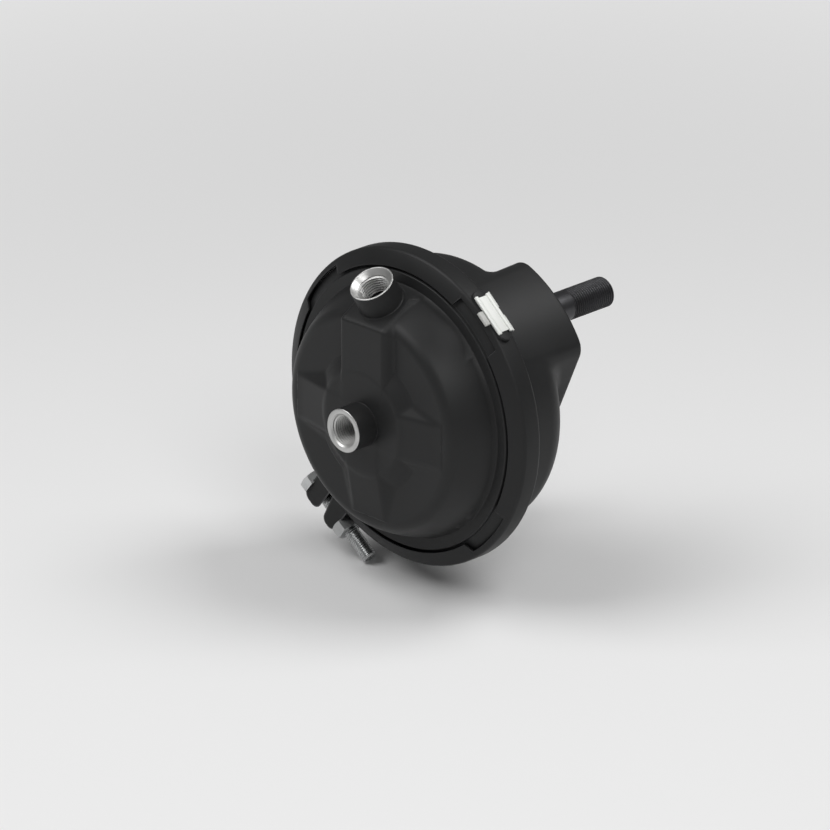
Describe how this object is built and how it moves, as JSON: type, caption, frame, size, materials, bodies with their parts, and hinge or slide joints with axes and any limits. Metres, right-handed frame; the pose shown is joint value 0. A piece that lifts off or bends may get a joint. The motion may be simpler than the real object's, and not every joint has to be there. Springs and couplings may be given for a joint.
{
  "type": "air disc brake chamber",
  "caption": "Diaphragm air chamber for a disc brake: two dished housings joined by a bolted band, threaded air ports, a sprung push rod and mounting studs.",
  "frame": {"origin": "centre of the mounting face, on the push rod's axis", "axes": "+Y along the push rod, out of the mounting face; +Z towards the upper air port"},
  "size_m": [0.166, 0.146, 0.1787],
  "materials": {
    "housing_paint": "satin black coating over steel",
    "band_paint": "satin black coating over steel",
    "port_steel": "black coating outside, bare machined faces",
    "zinc_steel": "zinc plated",
    "label_plastic": "matte",
    "label_insert": "matte",
    "rubber_black": "matte",
    "seal_rubber": "matte",
    "pressed_steel": "zinc plated",
    "rod_steel": "zinc plated",
    "spring_steel": "phosphated",
    "stud_steel": "black phosphated",
    "vent_plastic": "matte"
  },
  "bodies": {
    "chamber": {"pressure_housing": "housing_paint", "rear_housing": "housing_paint", "clamp_band": "band_paint", "port_boss_centre": "port_steel", "port_boss_upper": "port_steel", "clamp_bolt": "zinc_steel", "clamp_nut": "zinc_steel", "label_holder": "label_plastic", "label_strip": "label_insert", "diaphragm": "rubber_black", "boot": "rubber_black", "face_seal": "seal_rubber", "return_spring": "spring_steel", "spring_seat": "pressed_steel", "boot_clamp_ring": "spring_steel", "mounting_stud_upper": "stud_steel", "mounting_stud_lower": "stud_steel", "vent_plugs": "vent_plastic"},
    "rod": {"push_rod": "rod_steel", "pressure_plate": "pressed_steel", "rod_collar": "pressed_steel", "boot_rod_ring": "spring_steel"}
  },
  "joints": [
    {"name": "stroke", "type": "slide", "parent": "chamber", "child": "rod", "axis": [0, 1, 0], "range_m": [0, 0.057], "stiffness_N_per_m": 3000, "springref_m": -0.03, "deforming": ["return_spring", "diaphragm", "boot"]}
  ]
}
